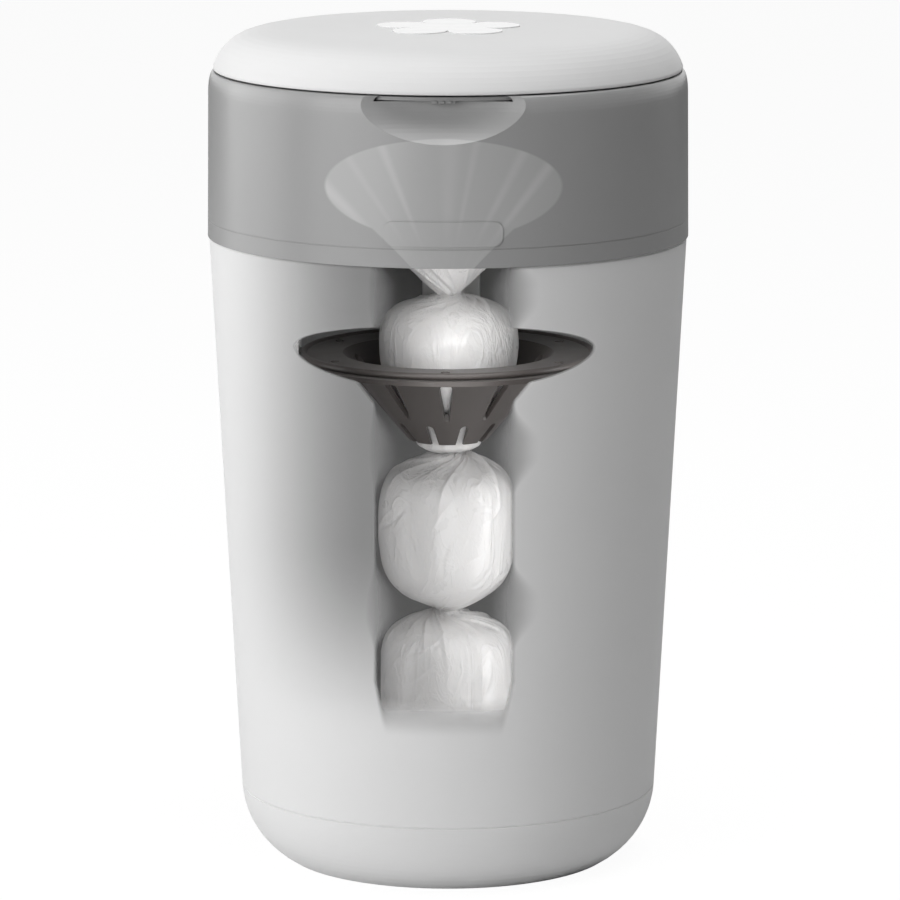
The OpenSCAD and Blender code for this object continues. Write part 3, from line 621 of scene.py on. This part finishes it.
def smooth_path(points, count, steps=24):
    """A Catmull-Rom curve through profile points, evenly spaced, with the distances along it."""
    points = np.asarray(points, float)
    before, after = 2 * points[0] - points[1], 2 * points[-1] - points[-2]
    padded = np.concatenate([[before], points, [after]])
    curve = []
    for i in range(len(points) - 1):
        p0, p1, p2, p3 = padded[i : i + 4]
        slope = p2 - p0
        square = 2 * p0 - 5 * p1 + 4 * p2 - p3
        cube = 3 * p1 - p0 - 3 * p2 + p3
        for t in np.linspace(0, 1, steps, endpoint=False):
            curve.append(0.5 * (2 * p1 + slope * t + square * t * t + cube * t**3))
    curve = np.array(curve + [points[-1]])
    far = np.concatenate([[0], np.cumsum(np.linalg.norm(np.diff(curve, axis=0), axis=1))])
    even = np.linspace(0, far[-1], count)
    return np.interp(even, far, curve[:, 0]), np.interp(even, far, curve[:, 1]), even


def all_round(rows, columns):
    """The angle of each point of a round grid."""
    return np.ones(rows)[:, None] * np.linspace(0, TAU, columns, endpoint=False)[None, :]


def profile_normal(radius, z):
    dr, dz = np.gradient(radius), np.gradient(z)
    size = np.hypot(dr, dz)
    return dz / size, -dr / size


def ring_points(radius, theta, z, normal, height, centre=(0.0, 0.0)):
    """Rings displaced along the profile's normal, round one centre or a centre for each."""
    r = radius[:, None] + normal[0][:, None] * height
    up = z[:, None] + normal[1][:, None] * height
    x = r * np.cos(theta) + np.reshape(centre[0], (-1, 1))
    y = r * np.sin(theta) + np.reshape(centre[1], (-1, 1))
    return np.stack([x, y, up], axis=-1)


# ---------- folds in the film, in millimetres ----------

NECK_R = 6


def wrap(angle):
    return (angle + math.pi) % TAU - math.pi


def pleats(theta, radius, away, rng, count, twist, reach, width, depth):
    """Sharp folds that start at a neck, turn with its twist and die out along the film.

    away is the distance from the neck, row by row. Each fold has a gentle and a steep side."""
    untwisted, drifted, widened, begun = 11, 30, 18, 1.5  # distances from the neck
    gentle, steep, crest = 1.25, 0.32, 0.02
    height = np.zeros_like(theta)
    for k in range(count):
        start = TAU * (k + 0.35 * rng.uniform(-1, 1)) / count
        length = reach * rng.uniform(0.45, 1.25)
        turn = twist * np.exp(-away / untwisted)
        turn += rng.normal(0, 0.12) * np.minimum(away / drifted, 1)
        off = wrap(theta - start - turn[:, None]) * radius[:, None]
        wide = width * rng.uniform(0.7, 1.3) * (0.3 + np.minimum(away / widened, 1))
        side = np.where(off > 0, gentle, steep) * wide[:, None]
        shape = np.exp(-np.sqrt((off / side) ** 2 + crest))
        fade = np.minimum(away / begun + 0.35, 1) * np.exp(-((away / length) ** 1.6))
        height += depth * rng.uniform(0.5, 1.2) * shape * fade[:, None]
    return height


def creases(theta, z, radius, rng, count, length, width, depth, lean):
    """Thin straight and slightly bent creases in the film over the belly.

    lean is their usual angle from level, in radians."""
    gentle, steep = 1.3, 0.35
    end_clear = 6
    outward_share, inward = 0.65, -0.8
    height = np.zeros_like(theta)
    for _ in range(count):
        at = rng.uniform(-math.pi, math.pi)
        high = rng.uniform(z.min() + end_clear, z.max() - end_clear)
        angle = rng.normal(lean, 0.5)
        half = length * rng.uniform(0.4, 1.3)
        bend = rng.normal(0, 0.012)
        u = wrap(theta - at) * radius
        w = (z - high)[:, None] * np.ones_like(theta)
        along = u * math.cos(angle) + w * math.sin(angle)
        across = -u * math.sin(angle) + w * math.cos(angle) + bend * along**2
        window = np.clip(1 - (along / half) ** 2, 0, 1) ** 2
        wide = width * rng.uniform(0.6, 1.4)
        sign = 1 if rng.uniform() < outward_share else inward
        side = np.where(across > 0, gentle, steep) * wide
        height += sign * depth * rng.uniform(0.4, 1.1) * window * np.exp(-np.abs(across) / side)
    return height


def lumps(theta, share, rng):
    """Broad unevenness of what is wrapped in the film, for rows from share 0 to share 1."""
    height = np.zeros_like(theta)
    for round_waves, up_waves in ((1, 1), (2, 1), (2, 2), (3, 1), (3, 3), (4, 2)):
        a, b = rng.uniform(0, TAU, 2)
        round_it = np.cos(round_waves * theta + a)
        up_it = np.sin(math.pi * up_waves * share + 0.4 * math.sin(b))
        height += 1 / round_waves * round_it * up_it[:, None]
    return height


def neck_strands(z, rng):
    """Rings of the twisted strands of film round a neck."""
    count, turns, rise, thick = 4, 0.8, 4.2, 2.1
    s = np.linspace(0, 1, 36)
    swell = np.sin(math.pi * s)
    tubes = []
    for k in range(count):
        start = TAU * k / count + rng.uniform(-0.3, 0.3)
        a = start + TAU * turns * s
        r = NECK_R * (0.75 + 0.3 * swell + 0.05 * rng.uniform(-1, 1))
        up = z + rise * (s - 0.5) + 0.6 * np.sin(TAU * s + start)
        radii = thick * (0.15 + 0.85 * swell**0.7) * rng.uniform(0.8, 1.15)
        tubes.append(sweep(np.stack([r * np.cos(a), r * np.sin(a), up], axis=1), radii))
    return tubes


# ---------- wrapped nappies ----------

NAPPY_ROWS = 176
NAPPY_COLUMNS = 264
STRANDS_DROP = 1.6
# Lumps and creases start at this radius, and are full after this much more
BELLY_START, BELLY_RISE = 14, 18
# How far the belly is drawn in. It makes up for only a part of the folds, so the film
# still stands some millimetres past the CAD solid in places.
BELLY_SINK = 0.8

# Each nappy: the CAD solid it replaces, its body, its seed, its profile between the two
# necks as (radius, height over the lower neck), the folds at its necks and over its
# belly, and how far its middle sways in x and y
NAPPIES = {
    "nappy_upper": (
        "pouch_upper",
        "head",
        11,
        [
            (11, 1.3),
            (16.3, 3.4),
            (17.4, 5.6),
            (17.2, 8.5),
            (19, 12),
            (23.5, 19),
            (30, 29),
            (36, 39),
            (38, 49),
            (38.4, 58),
            (37.6, 67),
            (34.5, 74.5),
            (28.5, 79.8),
            (20, 82.6),
            (11.5, 83.8),
            (7.2, 84.6),
        ],
        dict(count=12, twist=2.8, reach=20, width=2.4, depth=2.6),
        dict(count=12, twist=0.3, reach=22, width=2.0, depth=0.8),
        dict(count=26, length=24, width=1.5, depth=0.4, lean=0.9),
        (0.8, -0.4),
    ),
    "nappy_middle": (
        "pouch_middle",
        "tub",
        23,
        [
            (7, 1.6),
            (13, 4.0),
            (22, 8.0),
            (30.5, 14.5),
            (35.6, 24),
            (37.6, 36),
            (38.0, 48),
            (37.4, 60),
            (35.0, 69.5),
            (30.0, 76.5),
            (21.5, 81),
            (12.5, 83.2),
            (7.4, 84.6),
        ],
        dict(count=22, twist=1.8, reach=27, width=2.2, depth=3.2),
        dict(count=15, twist=-1.0, reach=16, width=2.0, depth=1.6),
        dict(count=46, length=22, width=1.5, depth=0.75, lean=1.0),
        (0.3, 0.2),
    ),
    "nappy_lower": (
        "pouch_lower",
        "tub",
        37,
        [
            (7, 1.6),
            (13, 4.5),
            (22, 9),
            (30, 16),
            (34.6, 26),
            (36.6, 38),
            (37.4, 50),
            (37.2, 62),
            (35.4, 71.5),
            (30.4, 78),
            (21.5, 81.8),
            (12.5, 83.6),
            (7.4, 84.9),
        ],
        dict(count=19, twist=-1.3, reach=28, width=2.3, depth=3.0),
        dict(count=15, twist=0.8, reach=16, width=2.0, depth=1.6),
        dict(count=44, length=24, width=1.6, depth=0.75, lean=1.2),
        (-0.6, 0.3),
    ),
}


def heights_mm(node):
    """Lowest and highest point of a CAD node."""
    low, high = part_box(node)
    return 1000 * low[2], 1000 * high[2]


def make_nappy(
    name, material, node, body, seed, belly_profile, top_pleats, low_pleats, belly_creases, sway
):
    rng = np.random.default_rng(seed)
    bottom, top = heights_mm(node)
    profile = [(NECK_R, bottom)]
    profile += [(r, bottom + height) for r, height in belly_profile]
    profile += [(NECK_R, top)]
    radius, z, along = smooth_path(profile, NAPPY_ROWS)
    theta = all_round(NAPPY_ROWS, NAPPY_COLUMNS)
    share = along / along[-1]
    belly = np.clip((radius - BELLY_START) / BELLY_RISE, 0, 1)[:, None]
    height = pleats(theta, radius, along[-1] - along, rng, **top_pleats)
    height += pleats(theta, radius, along, rng, **low_pleats)
    height += creases(theta, z, radius.max(), rng, **belly_creases) * belly
    height += (lumps(theta, share, rng) - BELLY_SINK) * belly
    bow = np.sin(math.pi * share)
    centre = (sway[0] * bow, sway[1] * bow)
    rings = ring_points(radius, theta, z, profile_normal(radius, z), height, centre)
    points, faces = joined([rings, *neck_strands(z[-1] - STRANDS_DROP, rng)])
    piece = new_piece(name, points, faces, material, body)
    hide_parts(node)


# ---------- sheets of film ----------


def make_funnel(material):
    """The film from the cassette's slot over its inner wall and down to the neck."""
    rows, columns = 120, 360
    neck, top = heights_mm("film_funnel")
    profile = [
        (NECK_R, neck),
        (7.4, neck + 2.4),
        (12.0, neck + 6.6),
        (19.0, neck + 13.2),
        (29.8, neck + 21.5),
        (42.4, neck + 30.2),
        (54.0, neck + 38.6),
        (61.2, neck + 45.0),
        (63.4, neck + 51.0),
        (63.6, neck + 66.0),
        (63.7, top - 4.0),
        (64.4, top - 0.7),
        (66.0, top - 0.25),
        (68.4, top - 0.5),
    ]
    rng = np.random.default_rng(5)
    radius, z, along = smooth_path(profile, rows)
    theta = all_round(rows, columns)
    # pleats and creases on the cone, and small waves on the upright wall above it
    cone = np.clip((neck + 46 - z) / 8, 0, 1)[:, None]
    height = pleats(
        theta, radius, along, rng, count=30, twist=1.0, reach=62, width=2.2, depth=1.7
    )
    height = (height - 0.9) * cone
    height += cone * creases(
        theta, z, 50, rng, count=40, length=26, width=1.2, depth=0.3, lean=1.4
    )
    waves = 1 + np.sin(37 * theta + 3 * np.sin(5 * theta))
    height -= (1 - cone) * 0.25 * waves
    rings = ring_points(radius, theta, z, profile_normal(radius, z), height)
    piece = new_sheet("film_funnel_sheet", rings, material, "ring")
    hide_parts("film_funnel")


def make_pack(material):
    """Film folded in a concertina in the cassette."""
    folds, columns = 32, 96
    inner_r, outer_clear, end_clear = 68.4, 0.4, 0.3
    outer_r = 1000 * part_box("film_pack")[1][0] - outer_clear
    low, high = heights_mm("film_pack")
    theta = np.linspace(0, TAU, columns, endpoint=False)
    rng = np.random.default_rng(8)
    rings = []
    for i in range(folds + 1):
        z = low + end_clear + (high - low - 2 * end_clear) * i / folds
        edge, inward = (outer_r, -1) if i % 2 else (inner_r, 1)
        wave = 0.5 * (1 + np.sin(7 * theta + rng.uniform(0, TAU))) * rng.uniform(0.3, 1)
        r = edge + inward * wave
        rings.append(np.stack([r * np.cos(theta), r * np.sin(theta), np.full(columns, z)], axis=1))
    piece = new_sheet("film_pack_pleats", np.array(rings), material, "ring", smooth=False)
    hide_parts("film_pack")


def make_tail(material):
    """The film's tied end: a knot over a pleated frill that stands on the base's floor."""
    rows, columns = 60, 320
    frill_waves = 21
    floor, top = heights_mm("film_tail")
    knot = top - 6
    profile = [
        (17.0, floor + 0.15),
        (15.6, floor + 4),
        (12.5, floor + 10),
        (9.0, floor + 17),
        (6.6, floor + 23),
        (7.6, knot - 6.5),
        (10.6, knot - 2.5),
        (10.4, knot + 1.5),
        (7.0, top - 2.0),
        (5.6, top),
    ]
    radius, z, _ = smooth_path(profile, rows)
    theta = all_round(rows, columns)
    frill = floor + 22
    depth = np.interp(z, [floor, floor + 12, frill, knot, top], [6.8, 6.2, 3.2, 2.0, 0.6])
    turn = np.interp(z, [floor, frill, top], [0, 0.5, 2.2])
    wave = np.cos(frill_waves * (theta - turn[:, None]) + 1.6 * np.sin(2 * theta))
    near_floor = np.clip((floor + 14 - z) / 14, 0, 1)
    height = depth[:, None] * wave + 0.9 * np.sin(3 * theta + 1.1) * near_floor[:, None]
    outwards = (np.ones(rows), np.zeros(rows))
    rings = ring_points(radius, theta, z, outwards, height)
    piece = new_sheet("film_tail_knot", rings, material, "tub")
    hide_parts("film_tail")


# ---------- finish of the CAD nodes ----------


def dress_nodes():
    """A material for every CAD node, from its material slot. Returns them by slot."""
    finishes = {
        "white_shell": white_shell(),
        "grey_band": grey_band(),
        "inner_white": inner_plastic("inner_white", INNER_WHITE, 0.42, 0.012),
        "inner_grey": inner_plastic("inner_grey", INNER_GREY, 0.4, 0.015),
        "gripper_rubber": rubber(),
        "steel": steel(),
        "ornament": ornament(),
        "film": film(),
    }
    front_band = grey_band(with_fan=True)
    special = {
        "tub": white_shell(ghost=True),
        "head_shell": front_band,
        "label_panel": front_band,
    }
    slots = {part["node"]: part["material_slot"] for part in frame["record"]["subparts"]}
    for name, node in frame["nodes"].items():
        material = special.get(name) or finishes[slots[name]]
        if not node.material_slots:
            node.data.materials.append(material)
        for holder in node.material_slots:
            holder.material = material
    return finishes


# ---------- the scene ----------

make_camera()
make_world()
make_floor()
for lamp_name, lamp_values in LAMPS.items():
    make_lamp(lamp_name, *lamp_values)

film_material = dress_nodes()["film"]
for nappy_name, nappy_values in NAPPIES.items():
    make_nappy(nappy_name, film_material, *nappy_values)
make_funnel(film_material)
make_pack(film_material)
make_tail(film_material)

bpy.context.scene.view_settings.view_transform = "Standard"
